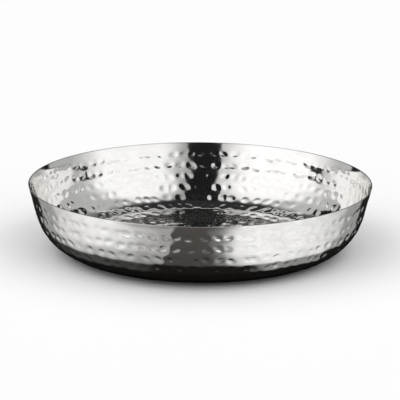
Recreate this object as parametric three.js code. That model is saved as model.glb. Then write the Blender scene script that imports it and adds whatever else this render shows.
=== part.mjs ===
// Round hammered serving tray, pressed from one disc of stainless sheet and hammered all over
// from outside, so every blow is a dent on the outer face and a matching bump on the inner one.
// Millimetres, +Z up, origin at the centre of the underside.
import * as THREE from "three";

// Driving dimensions of the sheet, all on its outer face
const rimDiameter = 356;
const trayHeight = 71;
const sheetThickness = 1;
const wallFlare = THREE.MathUtils.degToRad(13.5); // lean of the wall at the rim, from upright
const shoulderRadius = 75; // slow bend below the straight wall
const shoulderBend = THREE.MathUtils.degToRad(14); // how far the shoulder bends the wall inwards
const heelRadius = 50; // round bend from the shoulder into the floor

// Driving dimensions of the hammering
const plainBand = 6.5; // smooth strip below the rim
const plainCentreDiameter = 24; // smooth spot in the middle of the floor, which the tray stands on
const rowPitch = 13; // from one row of blows to the next, along the sheet
const rowStagger = 0.618; // share of a blow by which each row is turned from the row above
const blowPitch = 12.4; // from one blow to the next, along a row
const dentDepth = 0.35;
const depthScatter = 0.5; // share of the depth by which blows differ
const blowScatter = 0.6; // share of the pitch by which blows wander along a row

// Polished stainless steel
const steel = new THREE.MeshStandardMaterial({ color: 0xe5e3e1, metalness: 1, roughness: 0.1 });

// Stretches of the sheet from the rim down to the middle of the floor. The turn is the slope of
// the sheet from level: zero on the floor, a right angle where the wall would be upright.
const wallTurn = Math.PI / 2 - wallFlare;
const heelTurn = wallTurn - shoulderBend;
const heelRise = heelRadius * (1 - Math.cos(heelTurn));
const heelRun = heelRadius * Math.sin(heelTurn);
const heelLength = heelRadius * heelTurn;
const shoulderRise = shoulderRadius * (Math.cos(heelTurn) - Math.cos(wallTurn));
const shoulderRun = shoulderRadius * (Math.sin(wallTurn) - Math.sin(heelTurn));
const shoulderLength = shoulderRadius * (wallTurn - heelTurn);
const wallRise = trayHeight - heelRise - shoulderRise;
const wallRun = wallRise * Math.tan(wallFlare);
const wallLength = wallRise / Math.cos(wallFlare);
const floorRadius = rimDiameter / 2 - wallRun - shoulderRun - heelRun;
const sheetLength = wallLength + shoulderLength + heelLength + floorRadius;

// Rows fill the sheet between the plain band and the plain centre
const hammeredLength = sheetLength - plainBand - plainCentreDiameter / 2;
const rowCount = Math.round(hammeredLength / rowPitch);
const rowHeight = hammeredLength / rowCount;

// Place on the outer face at a distance along the sheet from the rim
function sheetPlace(along) {
  const belowWall = along - wallLength;
  const belowShoulder = belowWall - shoulderLength;
  const belowHeel = belowShoulder - heelLength;
  if (belowWall <= 0) {
    return {
      radius: rimDiameter / 2 - along * Math.sin(wallFlare),
      height: trayHeight - along * Math.cos(wallFlare),
      turn: wallTurn,
    };
  }
  if (belowShoulder <= 0) {
    const turn = wallTurn - belowWall / shoulderRadius;
    return {
      radius: floorRadius + heelRun + shoulderRadius * (Math.sin(turn) - Math.sin(heelTurn)),
      height: heelRise + shoulderRadius * (Math.cos(heelTurn) - Math.cos(turn)),
      turn,
    };
  }
  if (belowHeel <= 0) {
    const turn = heelTurn - belowShoulder / heelRadius;
    return {
      radius: floorRadius + heelRadius * Math.sin(turn),
      height: heelRadius * (1 - Math.cos(turn)),
      turn,
    };
  }
  return { radius: floorRadius - belowHeel, height: 0, turn: 0 };
}

// Scatter between minus a half and a half for one blow of one row, the same on every run: the far
// digits of a sine whose steps share no simple ratio
const scatterSteps = { row: 12.9898, blow: 78.233, kind: 37.719 };
const scatterStart = 69.44;
const scatterGain = 43758.5453;
function scatter(row, blow, kind) {
  const phase = row * scatterSteps.row + blow * scatterSteps.blow + kind * scatterSteps.kind;
  const wave = scatterGain * Math.sin(phase + scatterStart);
  return wave - Math.floor(wave) - 0.5;
}

// Blows of one row: where each lands round the tray and how deep it goes. Each row is turned from
// the one above, so that no blows line up, and each blow wanders a little from its even place.
function rowBlows(row) {
  const middle = sheetPlace(plainBand + (row + 0.5) * rowHeight).radius;
  const count = Math.max(3, Math.round((2 * Math.PI * middle) / blowPitch));
  const step = (2 * Math.PI) / count;
  const stagger = (row * rowStagger) % 1;
  return Array.from({ length: count }, (_, blow) => ({
    angle: step * (blow + stagger + blowScatter * scatter(row, blow, 1)),
    depth: dentDepth * (1 + depthScatter * scatter(row, blow, 2)),
  }));
}

// Turn half way from each blow to the next one in its row
function ridgeAngles(blows) {
  return blows.map(({ angle }, index) => {
    const next = blows[index + 1]?.angle ?? blows[0].angle + 2 * Math.PI;
    return (angle + next) / 2;
  });
}

// Rings of points over the sheet, from the rim to the plain centre. Ridges keep the level of the
// sheet, and the middle of each blow is pushed in by its depth.
function hammeredRings() {
  const rows = Array.from({ length: rowCount }, (_, row) => rowBlows(row));
  const ridgeRing = (along, blows) => ridgeAngles(blows).map((angle) => ({ angle, along, depth: 0 }));
  const rings = [ridgeRing(plainBand, rows[0])];
  rows.forEach((blows, row) => {
    const top = plainBand + row * rowHeight;
    const along = top + rowHeight / 2;
    const ridges = ridgeRing(along, blows);
    rings.push(blows.flatMap((blow, index) => [{ ...blow, along }, ridges[index]]));
    rings.push(ridgeRing(top + rowHeight, blows));
  });
  return rings;
}

// Even ring of points along one edge of the rim
function rimRing(along) {
  const count = 4 * Math.round(rowBlows(0).length / 2);
  const step = (2 * Math.PI) / count;
  return Array.from({ length: count }, (_, index) => ({ angle: step * index, along, depth: 0 }));
}

// Sheet as one closed mesh: outer face, inner face and the cut edge of the rim
function sheetGeometry() {
  const positions = [];
  const triangles = [];

  // Puts a ring on the outer face, or on the inner one when lifted by the sheet's thickness
  function addRing(points, lift) {
    const first = positions.length / 3;
    for (const { angle, along, depth } of points) {
      const { radius, height, turn } = sheetPlace(along);
      const inwards = depth + lift;
      const reach = radius - inwards * Math.sin(turn);
      positions.push(reach * Math.cos(angle), reach * Math.sin(angle), height + inwards * Math.cos(turn));
    }
    return { first, angles: points.map(({ angle }) => angle) };
  }

  function addTriangle(a, b, c, inside) {
    triangles.push(...(inside ? [a, b, c] : [a, c, b]));
  }

  // Strip of triangles between two rings, stepping along whichever ring comes next round the tray
  function joinRings(upper, lower, inside) {
    const upperCount = upper.angles.length;
    const lowerCount = lower.angles.length;
    const angleAt = ({ angles }, index) => angles[index] ?? angles[0] + 2 * Math.PI;
    let i = 0;
    let j = 0;
    while (i < upperCount || j < lowerCount) {
      const here = upper.first + (i % upperCount);
      const below = lower.first + (j % lowerCount);
      const upperFirst = angleAt(upper, i + 1) < angleAt(lower, j + 1);
      if (j === lowerCount || (i < upperCount && upperFirst)) {
        i += 1;
        addTriangle(here, upper.first + (i % upperCount), below, inside);
      } else {
        j += 1;
        addTriangle(here, lower.first + (j % lowerCount), below, inside);
      }
    }
  }

  // Fan of triangles from the last ring to the middle of the floor
  function closeCentre(ring, lift, inside) {
    const centre = positions.length / 3;
    const count = ring.angles.length;
    positions.push(0, 0, lift);
    ring.angles.forEach((_, index) => {
      addTriangle(ring.first + index, ring.first + ((index + 1) % count), centre, inside);
    });
  }

  // One face of the sheet, from its edge of the rim to the middle, giving back the ring at the rim
  function addFace(rimAlong, lift, inside) {
    const rings = [rimRing(rimAlong), ...hammeredRings()].map((points) => addRing(points, lift));
    rings.slice(1).forEach((ring, index) => joinRings(rings[index], ring, inside));
    closeCentre(rings.at(-1), lift, inside);
    return rings[0];
  }

  const outerRim = addFace(0, 0, false);
  const innerRim = addFace(sheetThickness * Math.tan(wallFlare), sheetThickness, true);
  joinRings(outerRim, innerRim, true);

  const geometry = new THREE.BufferGeometry();
  geometry.setAttribute("position", new THREE.Float32BufferAttribute(positions, 3));
  geometry.setIndex(triangles);
  geometry.computeVertexNormals();
  return geometry;
}

const traySheet = new THREE.Mesh(sheetGeometry(), steel);
traySheet.name = "tray_sheet";

const tray = new THREE.Group();
tray.name = "round_serving_tray";
tray.add(traySheet);

export default tray;
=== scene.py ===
import math

import bpy
import numpy as np
from mathutils import Matrix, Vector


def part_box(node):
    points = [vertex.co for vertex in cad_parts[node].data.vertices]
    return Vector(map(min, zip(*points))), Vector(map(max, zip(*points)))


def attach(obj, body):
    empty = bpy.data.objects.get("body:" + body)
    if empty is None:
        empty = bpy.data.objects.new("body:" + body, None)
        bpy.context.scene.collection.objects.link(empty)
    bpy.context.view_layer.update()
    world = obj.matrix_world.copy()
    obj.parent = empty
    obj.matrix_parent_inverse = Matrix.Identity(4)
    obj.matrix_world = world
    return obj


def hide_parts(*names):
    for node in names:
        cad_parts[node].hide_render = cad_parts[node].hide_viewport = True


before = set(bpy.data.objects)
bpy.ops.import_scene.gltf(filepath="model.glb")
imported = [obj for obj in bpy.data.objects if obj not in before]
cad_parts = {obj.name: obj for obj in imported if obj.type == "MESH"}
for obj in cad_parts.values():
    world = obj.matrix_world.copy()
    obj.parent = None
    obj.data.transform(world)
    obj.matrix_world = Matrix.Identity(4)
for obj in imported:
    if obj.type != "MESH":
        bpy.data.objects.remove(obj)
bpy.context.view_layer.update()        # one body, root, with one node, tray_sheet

low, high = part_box("tray_sheet")
print("frame loaded, box in mm:", [round(1000 * side) for side in high - low])

# The sheet, measured on its outer face, in metres and radians. A lean starts at a distance below the rim
# and grows towards it.
sheet = {
    "rimRadius": (high.x - low.x) / 2,
    "height": high.z - low.z,
    "thickness": 0.001,
    "wallFlare": math.radians(13.5),     # lean of the wall at the rim, from upright
    "shoulderRadius": 0.075,             # slow bend below the straight wall
    "shoulderBend": math.radians(14),
    "heelRadius": 0.050,                 # round bend from the shoulder into the floor
    "innerLean": {"lean": math.radians(5), "start": 0.006, "soft": 0.001},       # rim, outwards, inner face
    "outerLean": {"lean": math.radians(3), "start": 0.014, "end": 0.004, "soft": 0.002},
    "wallTuck": {"lean": math.radians(0.6), "start": 0.034, "soft": 0.004},      # whole wall, inwards
}
wallTurn = math.pi / 2 - sheet["wallFlare"]          # slope of the wall from level
heelTurn = wallTurn - sheet["shoulderBend"]          # slope where shoulder meets heel
shoulderLength = sheet["shoulderRadius"] * sheet["shoulderBend"]
heelLength = sheet["heelRadius"] * heelTurn
bendRise = (sheet["shoulderRadius"] * (math.cos(heelTurn) - math.cos(wallTurn))
            + sheet["heelRadius"] * (1 - math.cos(heelTurn)))
wallLength = (sheet["height"] - bendRise) / math.cos(sheet["wallFlare"])
heelStart = wallLength + shoulderLength
floorStart = wallLength + shoulderLength + heelLength


# Place on the outer face at a distance along the sheet from the rim. The straight wall runs down and
# in by its flare, the two bends turn it level by arcs of their own radius, and the floor runs in flat.
def sheetPlace(along):
    onWall = np.minimum(along, wallLength)
    shoulderTurn = wallTurn - np.clip(along - wallLength, 0, shoulderLength) / sheet["shoulderRadius"]
    pastHeel = np.clip(along - wallLength - shoulderLength, 0, heelLength)
    bottomTurn = heelTurn - pastHeel / sheet["heelRadius"]
    onFloor = np.maximum(along - wallLength - shoulderLength - heelLength, 0)
    radius = (sheet["rimRadius"] - onWall * math.sin(sheet["wallFlare"])
              - sheet["shoulderRadius"] * (math.sin(wallTurn) - np.sin(shoulderTurn))
              - sheet["heelRadius"] * (math.sin(heelTurn) - np.sin(bottomTurn)) - onFloor)
    height = (sheet["height"] - onWall * math.cos(sheet["wallFlare"])
              - sheet["shoulderRadius"] * (np.cos(shoulderTurn) - math.cos(wallTurn))
              - sheet["heelRadius"] * (np.cos(bottomTurn) - math.cos(heelTurn)))
    return radius, height, shoulderTurn - heelTurn + bottomTurn


sheetLength = floorStart + float(sheetPlace(np.array(floorStart))[0])


# How far a lean carries the sheet: its slope times the height above its start, eased there by a
# hyperbola, and no further than its end where it has one
def leanReach(along, lean, start, soft, end=None):
    above = start - along
    reach = lean * (above + np.sqrt(above ** 2 + soft ** 2)) / 2
    if end is None:
        return reach
    return reach - leanReach(along, lean, end, soft)


# How far all the leans carry the sheet inwards: the tuck of the wall less the lean of the rim, which
# goes over from the outer face's to the inner face's through the thickness
def wallLean(along, through):
    innerLean = leanReach(along, **sheet["innerLean"])
    outerLean = leanReach(along, **sheet["outerLean"])
    return leanReach(along, **sheet["wallTuck"]) - outerLean - through * (innerLean - outerLean)


# The hammering, in rows round the tray, struck from outside
hammering = {
    "plainBand": 0.0065,                 # from the rim to the first row
    "plainCentre": 0.012,                # radius of the smooth spot in the middle
    "rowPitch": 0.013,
    "blowPitch": 0.0124,
    "fewestBlows": 3,                    # in a row
    "blowHeight": (0.0037, 0.0050),      # half of it, at the top row and on the floor
    "blowWidth": (0.0060, 0.0054),
    "steepness": (0.152, 0.18, 0.115),   # slope at the steepest place of a blow: top row, heel and floor
    "rowStagger": 0.618,                 # share of the pitch from row to row, so that no blows line up
    "turnScatter": 0.6,                  # share of the pitch by which a blow wanders along its row
    "rowScatter": 0.16,                  # share of the row by which it wanders across
    "depthScatter": 0.5,                 # share of the depth by which blows differ
    "sizeScatter": 0.25,                 # share of the radius by which blows differ
    "tiltScatter": 1.0,                  # how far blows lean off the straight
    "struckFace": 2.1,                   # depth on the outer face, which the hammer met, against the inner
    "softness": 1.2,                     # 1 leaves a sharp edge round a blow, 2 a soft one
    "crease": 6.0,                       # higher is a sharper ridge where blows overlap
    "seed": 69.44,                       # start of the scatter
}
hammeredLength = sheetLength - hammering["plainBand"] - hammering["plainCentre"]
rowCount = round(hammeredLength / hammering["rowPitch"])
rowHeight = hammeredLength / rowCount
rowMiddles = hammering["plainBand"] + (np.arange(rowCount) + 0.5) * rowHeight
rowRadii = sheetPlace(rowMiddles)[0]
rowBlows = np.maximum(hammering["fewestBlows"], np.round(2 * math.pi * rowRadii / hammering["blowPitch"]))
rowStagger = hammering["rowStagger"] * np.arange(rowCount) % 1
rowTall = np.interp(rowMiddles, (rowMiddles[0], floorStart), hammering["blowHeight"])
rowWide = np.interp(rowMiddles, (rowMiddles[0], floorStart), hammering["blowWidth"])
rowSteep = np.interp(rowMiddles, (rowMiddles[0], heelStart, floorStart), hammering["steepness"])
steepPlace = 1 / math.sqrt(2 * hammering["softness"] - 1)      # share of the radius, on the bowl below
bowlSlope = 2 * hammering["softness"] * steepPlace * (1 - steepPlace ** 2) ** (hammering["softness"] - 1)
rowDepth = rowSteep * rowTall / bowlSlope

scatterSteps = {"row": 12.9898, "blow": 78.233, "kind": 37.719}      # share no simple ratio
scatterGain = 43758.5453
scatterKinds = {"turn": 1, "depth": 2, "row": 3, "size": 4, "tilt": 5}


# Scatter between minus a half and a half for one blow of one row: the far digits of a sine
def scatter(row, blow, kind):
    steps = (row * scatterSteps["row"] + blow * scatterSteps["blow"]
             + scatterKinds[kind] * scatterSteps["kind"])
    wave = scatterGain * np.sin(steps + hammering["seed"])
    return wave - np.floor(wave) - 0.5


# Depth of one blow at each point, the blow given by its row and its place in the row. It is a round bowl:
# one less the square of the distance from its middle, to the power of its softness. Scatter moves the
# bowl, sizes it and leans it over.
def blowDepth(along, angle, row, place):
    blow = place % rowBlows[row]
    step = 2 * math.pi / rowBlows[row]
    centre = step * (place + rowStagger[row] + hammering["turnScatter"] * scatter(row, blow, "turn"))
    middle = rowMiddles[row] + hammering["rowScatter"] * rowHeight * scatter(row, blow, "row")
    size = 1 + hammering["sizeScatter"] * scatter(row, blow, "size")
    down = (along - middle) / (rowTall[row] * size)
    across = (angle - centre) * rowRadii[row] / (rowWide[row] * size)
    across += hammering["tiltScatter"] * scatter(row, blow, "tilt") * down
    depth = rowDepth[row] * (1 + hammering["depthScatter"] * scatter(row, blow, "depth"))
    return depth * np.maximum(1 - across ** 2 - down ** 2, 0) ** hammering["softness"]


# How far the sheet is knocked inwards at each point: the nearest blows of the point's row and of the rows
# beside it, joined by a power sum, which keeps the deeper one and leaves a ridge
def hammerDepth(along, angle):
    ownRow = np.floor((along - hammering["plainBand"]) / rowHeight)
    total = np.zeros_like(along)
    for beside in (-1, 0, 1):
        row = np.clip(ownRow + beside, 0, rowCount - 1).astype(int)
        onSheet = ownRow + beside == row
        step = 2 * math.pi / rowBlows[row]
        nearest = np.floor(angle / step - rowStagger[row] + 0.5)
        for neighbour in (-1, 0, 1):
            bowl = blowDepth(along, angle, row, nearest + neighbour)
            total += np.where(onSheet, bowl, 0) ** hammering["crease"]
    return total ** (1 / hammering["crease"])


# Slow unevenness left by the pressing
unevenness = {
    "height": 0.0001,
    "waves": ((11, 19, 0), (17, -27, 1), (23, 34, 2)),      # turns round, drift on the way down, start
    "fadeIn": 0.125,                     # share of the sheet, from the rim
}


# A sum of sines round the tray that drift with the distance down, faded out at the rim and on the heel
def sheetWave(along, angle):
    down = along / sheetLength
    waves = sum(np.sin(turns * angle + drift * down + start) for turns, drift, start in unevenness["waves"])
    fade = np.clip(down / unevenness["fadeIn"], 0, 1) * np.clip((floorStart - along) / heelLength, 0, 1)
    return unevenness["height"] * waves * fade


# The mesh of the sheet: rings from the middle of the underside, up the outer face, over the rim and
# down the inner face to the middle of the floor
meshing = {
    "ringPoints": 560,                   # points in the widest rings
    "leastPoints": 8,                    # and in the narrowest
    "wallStep": 0.0017,                  # between rings on the wall and heel
    "innerFloorStep": 0.0019,
    "underStep": 0.0034,                 # between rings on the underside
    "rimSteps": 6,                       # across the cut edge
}
faceFinishes = ("outerSteel", "cutEdge", "innerSteel")       # in the order of the rings
outerFace = faceFinishes.index("outerSteel")


def evenSteps(start, end, step):
    return np.linspace(start, end, max(2, round(abs(end - start) / step) + 1))


# Points in a ring: the widest count, halved each time the radius has halved from the rim's
def ringCounts(radius):
    halvings = np.floor(np.log2(sheet["rimRadius"] / np.minimum(radius, sheet["rimRadius"])))
    return np.maximum(meshing["ringPoints"] / 2 ** halvings, meshing["leastPoints"]).astype(int)


# For each ring its distance along the sheet from the rim, its lift from the outer face to the inner, the
# finish of the strip after it, and its points. The cut edge is a superellipse across the sheet, with
# eased corners.
def ringPlan():
    thick = sheet["thickness"]
    edge = np.linspace(0, math.pi, meshing["rimSteps"] + 1)
    edgeAlong = thick / 2 * (1 - np.sqrt(np.sin(edge).clip(0)))
    edgeLift = thick / 2 * (1 - np.sign(np.cos(edge)) * np.sqrt(np.abs(np.cos(edge))))
    under = evenSteps(sheetLength - meshing["underStep"], floorStart, meshing["underStep"])[:-1]
    wall = evenSteps(floorStart, thick, meshing["wallStep"])
    floor = evenSteps(floorStart, sheetLength - meshing["innerFloorStep"], meshing["innerFloorStep"])[1:]
    along = np.concatenate([under, wall, edgeAlong, wall[::-1], floor])
    outerCount, innerCount = under.size + wall.size, wall.size + floor.size
    counts = ringCounts(sheetPlace(along)[0])
    return {
        "along": along,
        "lift": np.concatenate([np.zeros(outerCount), edgeLift, np.full(innerCount, thick)]),
        "face": np.repeat(np.arange(len(faceFinishes)), [outerCount, edge.size, innerCount]),
        "count": counts,
        "start": np.concatenate([[0], np.cumsum(counts)[:-1]]),
        "shift": (np.arange(counts.size) % 2) / 2,       # every other ring is turned by half a point
    }


# Points of all the rings, with their distance from the rim and their dent. Each place on the sheet moves
# inwards, square to it, by the dent, the slow waves, the lift to its face and the leans of the wall.
def sheetPoints(rings):
    ring = np.repeat(np.arange(rings["count"].size), rings["count"])
    step = np.arange(ring.size) - rings["start"][ring] + rings["shift"][ring]
    angle = 2 * math.pi * step / rings["count"][ring]
    along = rings["along"][ring]
    lift = rings["lift"][ring]
    radius, height, turn = sheetPlace(along)
    dent = hammerDepth(along, angle)
    struck = np.where(rings["face"][ring] == outerFace, hammering["struckFace"], 1.0)
    inwards = dent * struck + sheetWave(along, angle) + lift
    inwards += wallLean(along, lift / sheet["thickness"])
    reach = radius - inwards * np.sin(turn)
    level = height + inwards * np.cos(turn)
    return np.stack([reach * np.cos(angle), reach * np.sin(angle), level], axis=1), along, dent


# Strip of triangles between a ring and the next: all steps round both rings taken in order of angle,
# each making a triangle with the point last reached on the other ring
def stitchRings(rings, first):
    startA, startB = rings["start"][first:first + 2]
    countA, countB = rings["count"][first:first + 2]
    shiftA, shiftB = rings["shift"][first:first + 2]
    endsA = (np.arange(countA) + 1 + shiftA) / countA
    endsB = (np.arange(countB) + 1 + shiftB) / countB
    stepsA = np.argsort(np.concatenate([endsA, endsB]), kind="stable") < countA
    doneA = np.cumsum(stepsA) - stepsA
    doneB = np.cumsum(~stepsA) - ~stepsA
    here = startA + doneA % countA
    there = startB + doneB % countB
    onward = np.where(stepsA, startA + (doneA + 1) % countA, startB + (doneB + 1) % countB)
    return np.stack([here, onward, there], axis=1)


# Fan of triangles between a ring and a pole, which comes before the ring or after it
def fanTriangles(start, count, pole, after):
    here = start + np.arange(count)
    onward = start + (np.arange(count) + 1) % count
    middle = np.full(count, pole)
    return np.stack([here, onward, middle] if after else [onward, here, middle], axis=1)


# Triangles of all the strips and of the fans at the two poles, with the finish of each
def sheetTriangles(rings):
    count, start, face = rings["count"], rings["start"], rings["face"]
    pointCount = count.sum()             # the poles come after the points of the rings
    strips = [stitchRings(rings, first) for first in range(count.size - 1)]
    strips.append(fanTriangles(start[0], count[0], pointCount, False))
    strips.append(fanTriangles(start[-1], count[-1], pointCount + 1, True))
    finishes = np.repeat([*face[:-1], face[0], face[-1]], [len(strip) for strip in strips])
    return np.concatenate(strips), finishes


def makeSheet():
    rings = ringPlan()
    points, along, dent = sheetPoints(rings)
    triangles, finishes = sheetTriangles(rings)
    poles = [[0, 0, 0], [0, 0, sheet["thickness"]]]
    mesh = bpy.data.meshes.new("traySheet")
    mesh.from_pydata(np.concatenate([points, poles]).tolist(), [], triangles.tolist())
    mesh.polygons.foreach_set("use_smooth", np.ones(len(triangles), dtype=bool))
    for finish in faceFinishes:
        mesh.materials.append(hammeredSteel(finish))
    mesh.polygons.foreach_set("material_index", finishes.astype(np.int32))
    atPoles = {"dent": [0, 0], "along": [sheetLength, sheetLength]}
    for name, values in (("dent", dent / rowDepth.max()), ("along", along)):
        layer = mesh.attributes.new(name, "FLOAT", "POINT")
        layer.data.foreach_set("value", np.concatenate([values, atPoles[name]]).astype(np.float32))
    mesh.update()
    piece = bpy.data.objects.new("traySheet", mesh)
    bpy.context.collection.objects.link(piece)
    print("sheet made:", len(triangles), "triangles,", int(rowBlows.sum()), "blows in", rowCount, "rows")
    return piece


# Short ways to build node trees
def addNode(tree, kind, inputs=(), **settings):
    node = tree.nodes.new(kind)
    for name, value in settings.items():
        setattr(node, name, value)
    for key, value in dict(inputs).items():
        if isinstance(value, bpy.types.NodeSocket):
            tree.links.new(value, node.inputs[key])
        else:
            node.inputs[key].default_value = value
    return node


def mathNode(tree, operation, first, second=0.0):
    return addNode(tree, "ShaderNodeMath", {0: first, 1: second}, operation=operation).outputs[0]


def plus(tree, first, second):
    return mathNode(tree, "ADD", first, second)


def minus(tree, first, second):
    return mathNode(tree, "SUBTRACT", first, second)


def most(tree, first, second):
    return mathNode(tree, "MAXIMUM", first, second)


def times(tree, first, *others):
    for other in others:
        first = mathNode(tree, "MULTIPLY", first, other)
    return first


# What a share leaves of one
def rest(tree, share):
    return minus(tree, 1.0, share)


# Smooth step of a value over a span, from one result to another
def ramp(tree, value, span, first=0.0, last=1.0):
    inputs = {"Value": value, 1: span[0], 2: span[1], 3: first, 4: last}
    return addNode(tree, "ShaderNodeMapRange", inputs, interpolation_type="SMOOTHSTEP").outputs[0]


def fall(tree, value, span):
    return ramp(tree, value, span, 1.0, 0.0)


# Span of a soft edge
def around(edge, soft):
    return edge - soft, edge + soft


# One between two soft edges and nought outside them
def between(tree, value, edges, soft):
    start, end = edges
    return times(tree, ramp(tree, value, around(start, soft)), fall(tree, value, around(end, soft)))


# Smooth step of noise over a span, from one result to another
def noiseRamp(tree, inputs, span, first=0.0, last=1.0, **settings):
    spots = addNode(tree, "ShaderNodeTexNoise", inputs, **settings).outputs[0]
    return ramp(tree, spots, span, first, last)


def scaled(tree, vector, scale):
    return addNode(tree, "ShaderNodeVectorMath", {0: vector, "Scale": scale}, operation="SCALE").outputs[0]


def mixTone(tree, share, first, second):
    inputs = {0: share, 6: first, 7: second}         # 6 and 7 are the two colours
    return addNode(tree, "ShaderNodeMix", inputs, data_type="RGBA").outputs[2]


# Polished stainless steel: the two faces of the sheet and its cut edge
polish = {
    "outerSteel": {
        "Tone": (0.845, 0.84, 0.83, 1),
        "Dull": (0.81, 0.80, 0.785, 1),
        "Roughness": 0.055,
        "Lines": 0.03,                   # roughness that the polishing lines add
    },
    "innerSteel": {
        "Tone": (0.88, 0.875, 0.865, 1),
        "Dull": (0.85, 0.84, 0.825, 1),
        "Roughness": 0.05,
        "Lines": 0.03,
    },
    "cutEdge": {
        "Tone": (0.66, 0.65, 0.635, 1),
        "Dull": (0.56, 0.548, 0.532, 1),
        "Roughness": 0.11,
        "Lines": 0.06,
    },
}
wear = {
    "hazeNoise": {"Scale": 26.0, "Detail": 5.0, "Roughness": 0.62},      # patches of dull polish
    "hazeSpan": (0.42, 0.68),
    "dullBase": 0.5,                     # dullness between the patches
    "dullRoughness": 0.03,
    "strikeTone": 0.35,                  # how much brighter a blow is burnished
    "lineNoise": {"Scale": 1.0, "Detail": 3.0},      # polishing lines round the tray
    "lineSpan": (0.5, 0.72),
    "lineScale": 900.0,                  # to the metre across them
    "lineLength": 14.0,                  # and in a turn along them
    "lineBump": {"Strength": 0.4, "Distance": 0.000002},
}


# Wear shared by all the steel: dull patches, fine lines round the tray and the burnished blows. The
# lines are noise stretched along the turn, drawn on the distance along the sheet and the turn itself.
def steelWear():
    group = bpy.data.node_groups.new("steelWear", "ShaderNodeTree")
    sockets = (("Tone", "INPUT", "NodeSocketColor"), ("Dull", "INPUT", "NodeSocketColor"),
               ("Roughness", "INPUT", "NodeSocketFloat"), ("Lines", "INPUT", "NodeSocketFloat"),
               ("Color", "OUTPUT", "NodeSocketColor"), ("Roughness", "OUTPUT", "NodeSocketFloat"),
               ("Height", "OUTPUT", "NodeSocketFloat"))
    for name, direction, kind in sockets:
        group.interface.new_socket(name, in_out=direction, socket_type=kind)
    given = addNode(group, "NodeGroupInput").outputs
    place = addNode(group, "ShaderNodeTexCoord").outputs["Object"]
    along = addNode(group, "ShaderNodeAttribute", attribute_name="along").outputs["Fac"]
    dent = addNode(group, "ShaderNodeAttribute", attribute_name="dent").outputs["Fac"]
    patches = noiseRamp(group, {"Vector": place, **wear["hazeNoise"]}, wear["hazeSpan"])
    turn = addNode(group, "ShaderNodeVectorMath", {0: place}, operation="NORMALIZE").outputs[0]
    lineInputs = {
        "Vector": scaled(group, turn, wear["lineLength"]),
        "W": times(group, along, wear["lineScale"]),
        **wear["lineNoise"],
    }
    lines = noiseRamp(group, lineInputs, wear["lineSpan"], noise_dimensions="4D")
    dulled = minus(group, patches, times(group, dent, wear["strikeTone"]))
    dulled = addNode(group, "ShaderNodeMath", {0: dulled, 1: wear["dullBase"]}, operation="ADD",
                     use_clamp=True).outputs[0]
    tone = mixTone(group, dulled, given["Tone"], given["Dull"])
    rough = plus(group, given["Roughness"], times(group, lines, given["Lines"]))
    rough = plus(group, rough, times(group, dulled, wear["dullRoughness"]))
    addNode(group, "NodeGroupOutput", {"Color": tone, "Roughness": rough, "Height": lines})
    return group


steelWearGroup = steelWear()


def hammeredSteel(finish):
    material = bpy.data.materials.new(finish)
    material.use_nodes = True
    tree = material.node_tree
    shader = tree.nodes["Principled BSDF"]
    shader.inputs["Metallic"].default_value = 1.0
    worn = addNode(tree, "ShaderNodeGroup", polish[finish], node_tree=steelWearGroup).outputs
    bump = addNode(tree, "ShaderNodeBump", {"Height": worn["Height"], **wear["lineBump"]})
    tree.links.new(worn["Color"], shader.inputs["Base Color"])
    tree.links.new(worn["Roughness"], shader.inputs["Roughness"])
    tree.links.new(bump.outputs["Normal"], shader.inputs["Normal"])
    return material


traySheet = makeSheet()
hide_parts("tray_sheet")
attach(traySheet, "root")
print("steel laid on")

# Camera at the photograph's view: the rim's centre and radius as they lie in a 400 by 400 picture
view = {
    "picture": 400,
    "rimCentre": (200.15, 181.2),
    "rimRadius": 171.49,
    "elevation": math.radians(14.2),
    "roll": math.radians(0.42),
    "distance": 12 * sheet["rimRadius"],     # from the middle of the rim
    "sensor": 36.0,
    "clipEnd": 60,
}


def addCamera():
    camera = bpy.data.cameras.new("camera")
    focal = view["rimRadius"] * view["distance"] / sheet["rimRadius"]       # in pixels
    camera.sensor_width = view["sensor"]
    camera.lens = focal * view["sensor"] / view["picture"]
    camera.clip_end = view["clipEnd"]
    aimDown = math.atan((view["picture"] / 2 - view["rimCentre"][1]) / focal)
    aimSide = math.atan((view["rimCentre"][0] - view["picture"] / 2) / focal)
    tilt = math.pi / 2 - view["elevation"] - aimDown
    aim = Matrix.Rotation(aimSide, 3, "Z") @ Matrix.Rotation(tilt, 3, "X")
    aim = aim @ Matrix.Rotation(view["roll"], 3, "Z")
    body = bpy.data.objects.new("camera", camera)
    out, up = math.cos(view["elevation"]), math.sin(view["elevation"])
    body.location = (0, -out * view["distance"], sheet["height"] + up * view["distance"])
    body.rotation_euler = aim.to_euler()
    bpy.context.collection.objects.link(body)
    bpy.context.scene.camera = body


# Pale floor that the tray stands on
floorBoard = {
    "radius": 14.0,
    "points": 96,
    "drop": 0.0002,                      # below the tray's foot
    "tone": (0.92, 0.92, 0.92, 1),
}


def addFloor():
    turn = np.linspace(0, 2 * math.pi, floorBoard["points"], endpoint=False)
    ring = np.stack([np.cos(turn), np.sin(turn), np.zeros_like(turn)], axis=1) * floorBoard["radius"]
    ring[:, 2] = -floorBoard["drop"]
    mesh = bpy.data.meshes.new("floor")
    mesh.from_pydata(ring.tolist(), [], [list(range(len(ring)))])
    floor = bpy.data.objects.new("floor", mesh)
    bpy.context.collection.objects.link(floor)
    material = bpy.data.materials.new("paleFloor")
    material.use_nodes = True
    shader = material.node_tree.nodes["Principled BSDF"]
    shader.inputs["Base Color"].default_value = floorBoard["tone"]
    shader.inputs["Roughness"].default_value = 1.0
    shader.inputs["Specular IOR Level"].default_value = 0.0
    mesh.materials.append(material)


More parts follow.
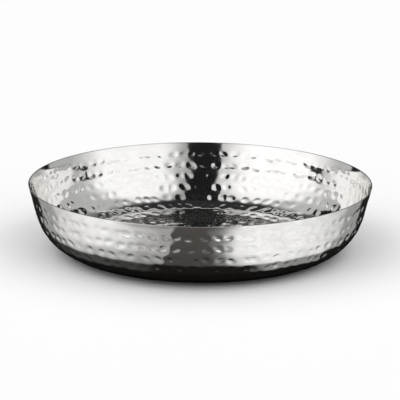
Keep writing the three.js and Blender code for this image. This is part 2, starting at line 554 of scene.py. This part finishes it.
# Tent of soft white walls with a gap from front to back over the top, as light by direction. Side, back
# and up are the parts of a direction of length one, and rear is back once that direction is laid level.
tent = {
    "wallLight": (1.18, 1.115),          # left and right
    "foldNoise": {"Scale": 5.0, "Detail": 1.0},
    "foldSpan": (0.35, 0.65),
    "foldDepth": 0.08,                   # how much the soft walls vary
    "skirtingUp": (0.015, 0.07),         # soft foot of the walls
    "skirtingLight": 0.04,               # and the light left below it
    "gapSide": (-0.247, 0.144),          # left and right edge of the gap
    "gapSoft": 0.01,
    "gapLean": 0.09,                     # its left edge leans in by this
    "leanUp": (0.4, 0.7),                # between these heights
    "gapLight": 0.012,
    "gapShade": (0.58, 0.37),            # light of the walls beside it, against the rest
    "shadeReach": (0.3, 0.32),
    "fadeRear": (-0.25, 0.3),            # the walls dim towards the back
    "fadeLight": 0.45,                   # to this share
    "fadeLean": 0.1,                     # later on the left than on the right
    "cornerRear": (0.6, 0.8),            # and once more past the posts
    "cornerLight": (0.17, 0.4),          # to these shares, left and right
    "cornerSide": (-0.1, 0.1),
    "endRear": (0.87, 0.96),             # the end wall is lighter again
    "endUp": (0.55, 0.7),                # below these heights
    "endLight": 0.8,
}
posts = {                                # dark, one at each back corner
    "rear": (0.59, 0.80),
    "sideSoft": 0.02,
    "top": (0.59, 0.65),
}
cap = {                                  # dark top of the tent, leaning back
    "tilt": math.radians(22),
    "edge": (math.radians(34), math.radians(15.5)),
    "light": 0.015,
}
bar = {                                  # pale, across the gap, high behind
    "back": (0.43, 0.53),
    "soft": 0.02,
    "up": (0.7, 0.75),
    "light": 0.5,
}
rearGlow = {                             # low in the gap behind
    "back": (0.5, 0.8),
    "foot": (0.3, 0.45),
    "top": (0.45, 0.65),
    "light": 0.3,
}


# White walls left and right of the gap, dimmer beside it
def wallLight(tree, at):
    left, right = tent["gapSide"]
    leftLight, rightLight = tent["wallLight"]
    leftShade, rightShade = tent["gapShade"]
    leftReach, rightReach = tent["shadeReach"]
    leftWall = ramp(tree, at["leaned"], around(left, tent["gapSoft"]), leftLight, 0.0)
    leftWall = times(tree, leftWall, ramp(tree, at["leaned"], (left - leftReach, left), 1.0, leftShade))
    rightWall = ramp(tree, at["side"], around(right, tent["gapSoft"]), 0.0, rightLight)
    rightWall = times(tree, rightWall, ramp(tree, at["side"], (right, right + rightReach), rightShade, 1.0))
    return plus(tree, leftWall, rightWall)


# Share of the walls' light that is left towards the back
def wallFade(tree, at):
    fading = plus(tree, at["rear"], times(tree, at["side"], tent["fadeLean"]))
    fade = ramp(tree, fading, tent["fadeRear"], 1.0, tent["fadeLight"])
    cornerLight = ramp(tree, at["side"], tent["cornerSide"], *tent["cornerLight"])
    fade = times(tree, fade, ramp(tree, at["rear"], tent["cornerRear"], 1.0, cornerLight))
    endWall = ramp(tree, at["rear"], tent["endRear"])
    endWall = times(tree, endWall, ramp(tree, at["up"], tent["endUp"], tent["endLight"], 0.0))
    return most(tree, fade, endWall)


def postShare(tree, at):
    upright = between(tree, at["rear"], posts["rear"], posts["sideSoft"])
    return times(tree, upright, fall(tree, at["up"], posts["top"]))


def capShare(tree, at):
    backPart = times(tree, at["back"], math.sin(cap["tilt"]))
    upPart = times(tree, at["up"], math.cos(cap["tilt"]))
    return ramp(tree, plus(tree, backPart, upPart), [math.cos(edge) for edge in cap["edge"]])


def barShare(tree, at):
    return times(tree, between(tree, at["back"], bar["back"], bar["soft"]), ramp(tree, at["up"], bar["up"]))


def glowShare(tree, at):
    left, right = [around(edge, tent["gapSoft"]) for edge in tent["gapSide"]]
    inGap = times(tree, ramp(tree, at["leaned"], left), fall(tree, at["side"], right))
    inHeight = times(tree, ramp(tree, at["up"], rearGlow["foot"]), fall(tree, at["up"], rearGlow["top"]))
    return times(tree, ramp(tree, at["back"], rearGlow["back"]), inHeight, inGap)


def addWorld():
    world = bpy.data.worlds.new("studio")
    bpy.context.scene.world = world
    world.use_nodes = True
    tree = world.node_tree
    way = addNode(tree, "ShaderNodeTexCoord").outputs["Generated"]
    side, back, up = addNode(tree, "ShaderNodeSeparateXYZ", {0: way}).outputs
    level = mathNode(tree, "SQRT", plus(tree, times(tree, side, side), times(tree, back, back)))
    at = {
        "side": side,
        "back": back,
        "up": up,
        "rear": mathNode(tree, "DIVIDE", back, level),
        "leaned": minus(tree, side, ramp(tree, up, tent["leanUp"], 0.0, tent["gapLean"])),
    }
    inCap = capShare(tree, at)
    foldInputs = {"Vector": way, **tent["foldNoise"]}
    folds = noiseRamp(tree, foldInputs, tent["foldSpan"], 1 - tent["foldDepth"])
    skirting = ramp(tree, up, tent["skirtingUp"], tent["skirtingLight"], 1.0)
    walls = times(tree, wallLight(tree, at), wallFade(tree, at), rest(tree, inCap), skirting, folds,
                  rest(tree, postShare(tree, at)))
    strength = plus(tree, walls, tent["gapLight"])
    shares = ((inCap, cap), (barShare(tree, at), bar), (glowShare(tree, at), rearGlow))
    for share, source in shares:
        strength = plus(tree, times(tree, share, source["light"]), strength)
    sky = tree.nodes["Background"]
    sky.inputs["Color"].default_value = (1, 1, 1, 1)
    tree.links.new(strength, sky.inputs["Strength"])


# Card on the floor that only the steel sees, in rim radii: side to the right and back from the tray's
# middle, aside either way, and out all round. It paints the floor's reflection: white that glows for the
# lit floor, painted shadow under the tray, painted shade on both sides of its back half, and a brown
# strip in front of the gap that paints a dark reflection there.
paintedReflection = {
    "reach": 3.0,                        # half its width
    "light": 1.11,
    "paintedShadowBlack": (0.017, 0.016, 0.015, 1),
    "paintedStripBrown": (0.078, 0.071, 0.066, 1),
    "shadeBack": (-1.1, 0.1),            # painted shade, dimming from the front to the sides
    "shadeLight": 0.5,
    "leftSide": (-1.15, -0.28),          # painted light, falling from the far left towards the strip
    "leftLight": (1.04, 0.4),
    "rightSide": (0.1, 0.3),             # and is full again to the right of it
    "cloudNoise": {"Scale": 6.0, "Detail": 2.0},
    "cloudSpan": (0.35, 0.65),
    "cloudDepth": 0.14,                  # how much the painted white varies
}
# Painted shadow under the tray, with painted light from the sides and a painted dimmer ring round it
paintedTrayShadow = {
    "out": (0.965, 1.015),               # soft edge of the painted shadow
    "rightIn": {"side": (0.2, 0.5), "back": (-0.53, -0.47), "reach": 0.015},     # light gets in further
    "backOut": {"back": (-0.33, -0.2), "reach": 0.08},                           # and here less far
    "leftGlow": {"out": (0.875, 0.91), "side": (-0.45, -0.2), "light": 0.13},    # painted light from the sides
    "rightGlow": {"out": (0.90, 0.922), "side": (0.3, 0.42), "light": 0.32},
    "contact": {"out": (1.0, 1.25), "light": 0.72},                              # painted shade round the tray
}
strip = {                                # painted dark reflection, brown, each edge soft over a span
    "left": (-0.29, -0.25),
    "right": (0.05, 0.11),
    "front": (-1.46, -1.40),
    "end": (-0.3, 0.0),
}
paintedPaleShade = {                            # painted paler shade round the brown
    "right": (0.24, 0.50),
    "slant": 0.45,                       # of the right edge
    "slantStart": -1.43,                 # where it lies as given
    "front": (-1.71, -1.65),
    "light": 0.31,
}
frontShade = {                           # painted shade across the front, further out
    "start": (1.35, 1.44),
    "end": (1.46, 1.56),
    "left": (-1.0, -0.7),
    "right": (0.36, 0.52),
    "depth": 0.42,
}
besideTray = {                           # painted half shade, then painted dark, each on a slant of its own
    "dim": {"back": (-0.47, -0.34), "slant": 0.55, "light": 0.63},
    "dark": {"back": (-0.2, -0.08), "slant": 1.15, "light": 0.0},
    "aside": (0.78, 0.9),
    "end": (1.0, 1.3),
}


# Painted shadow under the tray with the painted light that gets into it, and the painted dimmer ring round
# it
def paintedUnderTray(tree, at):
    rightIn, backOut, contact = paintedTrayShadow["rightIn"], paintedTrayShadow["backOut"], paintedTrayShadow["contact"]
    leftGlow, rightGlow = paintedTrayShadow["leftGlow"], paintedTrayShadow["rightGlow"]
    atFront = fall(tree, at["back"], rightIn["back"])
    onRight = times(tree, ramp(tree, at["side"], rightIn["side"]), atFront)
    reach = plus(tree, at["out"], times(tree, onRight, rightIn["reach"]))
    reach = minus(tree, reach, ramp(tree, at["back"], backOut["back"], 0.0, backOut["reach"]))
    fromLeft = ramp(tree, at["side"], leftGlow["side"], leftGlow["light"], 0.0)
    fromLeft = times(tree, ramp(tree, reach, leftGlow["out"]), fromLeft)
    fromRight = ramp(tree, at["side"], rightGlow["side"], 0.0, rightGlow["light"])
    fromRight = times(tree, ramp(tree, reach, rightGlow["out"]), fromRight, atFront)
    light = most(tree, ramp(tree, reach, paintedTrayShadow["out"]), plus(tree, fromLeft, fromRight))
    ring = most(tree, ramp(tree, at["out"], contact["out"], contact["light"], 1.0), onRight)
    return light, ring


# Share of the card in the painted dark reflection in front of the gap
def paintedStripShare(tree, at):
    left, right = ramp(tree, at["side"], strip["left"]), fall(tree, at["side"], strip["right"])
    front, end = ramp(tree, at["back"], strip["front"]), fall(tree, at["back"], strip["end"])
    return times(tree, left, right, front, end)


# Share of the card in the painted paler shade round the strip
def paintedPaleShadeShare(tree, at):
    slanted = times(tree, minus(tree, at["back"], paintedPaleShade["slantStart"]), paintedPaleShade["slant"])
    slanted = plus(tree, at["side"], slanted)
    left, right = ramp(tree, at["side"], strip["left"]), fall(tree, slanted, paintedPaleShade["right"])
    front, end = ramp(tree, at["back"], paintedPaleShade["front"]), fall(tree, at["back"], strip["end"])
    return times(tree, left, right, front, end, 1 - paintedPaleShade["light"])


# Share of the card in the painted shade across the front
def frontShare(tree, at):
    start, end = ramp(tree, at["out"], frontShade["start"]), fall(tree, at["out"], frontShade["end"])
    left, right = ramp(tree, at["side"], frontShade["left"]), fall(tree, at["side"], frontShade["right"])
    return times(tree, start, end, left, right, frontShade["depth"])


# Painted half shade and dark on the card beside the back of the tray
def besideLight(tree, at):
    beside = minus(tree, at["aside"], 1.0)
    light = 1.0
    for shade in (besideTray["dim"], besideTray["dark"]):
        place = minus(tree, at["back"], times(tree, beside, shade["slant"]))
        light = times(tree, ramp(tree, place, shade["back"], 1.0, shade["light"]), light)
    light = most(tree, light, ramp(tree, at["back"], besideTray["end"]))
    return most(tree, light, fall(tree, at["aside"], besideTray["aside"]))


# Painted light across the card: lower from the far left towards the strip, full again to its right
def sideLight(tree, at):
    farLeft, nearStrip = paintedReflection["leftLight"]
    onLeft = ramp(tree, at["side"], paintedReflection["leftSide"], farLeft, nearStrip)
    return plus(tree, onLeft, ramp(tree, at["side"], paintedReflection["rightSide"], 0.0, 1 - nearStrip))


def paintedReflectionMaterial():
    material = bpy.data.materials.new("paintedLightAndShade")
    material.use_nodes = True
    tree = material.node_tree
    tree.nodes.clear()
    place = scaled(tree, addNode(tree, "ShaderNodeTexCoord").outputs["Object"], 1 / sheet["rimRadius"])
    side, back = addNode(tree, "ShaderNodeSeparateXYZ", {0: place}).outputs[:2]
    at = {
        "side": side,
        "back": back,
        "aside": mathNode(tree, "ABSOLUTE", side),
        "out": addNode(tree, "ShaderNodeVectorMath", {0: place}, operation="LENGTH").outputs["Value"],
    }
    light, ring = paintedUnderTray(tree, at)
    onStrip = paintedStripShare(tree, at)
    tone = mixTone(tree, times(tree, onStrip, light), paintedReflection["paintedShadowBlack"], paintedReflection["paintedStripBrown"])
    shade = ramp(tree, back, paintedReflection["shadeBack"], 1.0, paintedReflection["shadeLight"])
    cloudInputs = {"Vector": place, **paintedReflection["cloudNoise"]}
    cloud = noiseRamp(tree, cloudInputs, paintedReflection["cloudSpan"], 1 - paintedReflection["cloudDepth"])
    light = times(tree, light, ring, besideLight(tree, at), shade, sideLight(tree, at), cloud)
    for share in (onStrip, paintedPaleShadeShare(tree, at), frontShare(tree, at)):
        light = times(tree, light, rest(tree, share))
    # Painted shade and shadow in the dark diffuse, the painted lit floor in the white that glows
    dark = addNode(tree, "ShaderNodeBsdfDiffuse", {"Color": tone}).outputs[0]
    white = addNode(tree, "ShaderNodeEmission", {"Strength": paintedReflection["light"]}).outputs[0]
    mixed = addNode(tree, "ShaderNodeMixShader", {0: light, 1: dark, 2: white}).outputs[0]
    addNode(tree, "ShaderNodeOutputMaterial", {"Surface": mixed})
    return material


def addPaintedReflection():
    reach = paintedReflection["reach"] * sheet["rimRadius"]
    level = -floorBoard["drop"] / 2
    signs = ((-1, -1), (1, -1), (1, 1), (-1, 1))
    corners = [(side * reach, back * reach, level) for side, back in signs]
    mesh = bpy.data.meshes.new("paintedReflectionCard")
    mesh.from_pydata(corners, [], [(0, 1, 2, 3)])
    mesh.materials.append(paintedReflectionMaterial())
    board = bpy.data.objects.new("paintedReflectionCard", mesh)
    # Seen by the steel alone, so it paints the reflection of the floor
    board.visible_camera = False
    board.visible_diffuse = False
    board.visible_shadow = False
    board.visible_transmission = False
    bpy.context.collection.objects.link(board)


# Soft lamp from above for the floor; the steel doesn't mirror it
lamp = {
    "strength": 1.7,
    "spread": math.radians(110),
}


def addLamp():
    sun = bpy.data.lights.new("overhead", "SUN")
    sun.energy = lamp["strength"]
    sun.angle = lamp["spread"]
    body = bpy.data.objects.new("overhead", sun)
    body.visible_glossy = False
    bpy.context.collection.objects.link(body)


addPaintedReflection()
addCamera()
addFloor()
addWorld()
addLamp()
bpy.context.scene.view_settings.view_transform = "Standard"
print("studio lit")
